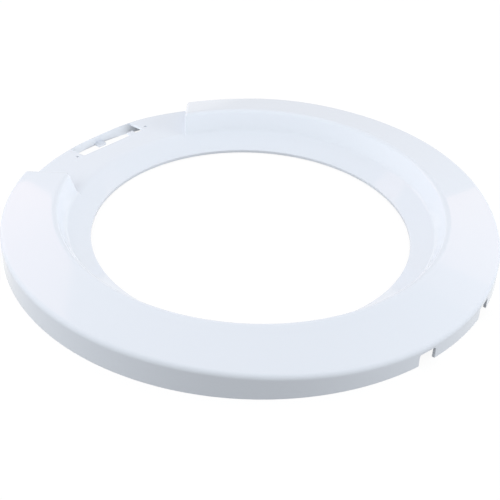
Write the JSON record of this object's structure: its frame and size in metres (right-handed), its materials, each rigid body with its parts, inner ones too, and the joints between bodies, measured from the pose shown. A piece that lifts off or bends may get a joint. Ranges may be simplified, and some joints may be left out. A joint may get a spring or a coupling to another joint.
{
  "type": "washing machine outer door frame",
  "caption": "White plastic ring that frames the glass of a front-loading washing machine door, with a stepped handle recess, a latch slot and hinge notches.",
  "frame": {"origin": "centre of the ring on the plane of its rear rim", "axes": "+Z out of the front of the door, +X from the centre to the handle slot"},
  "size_m": [0.44, 0.44, 0.0338],
  "materials": {
    "white_plastic": "gloss"
  },
  "bodies": {
    "root": {"outer_door_frame": "white_plastic"}
  },
  "joints": []
}
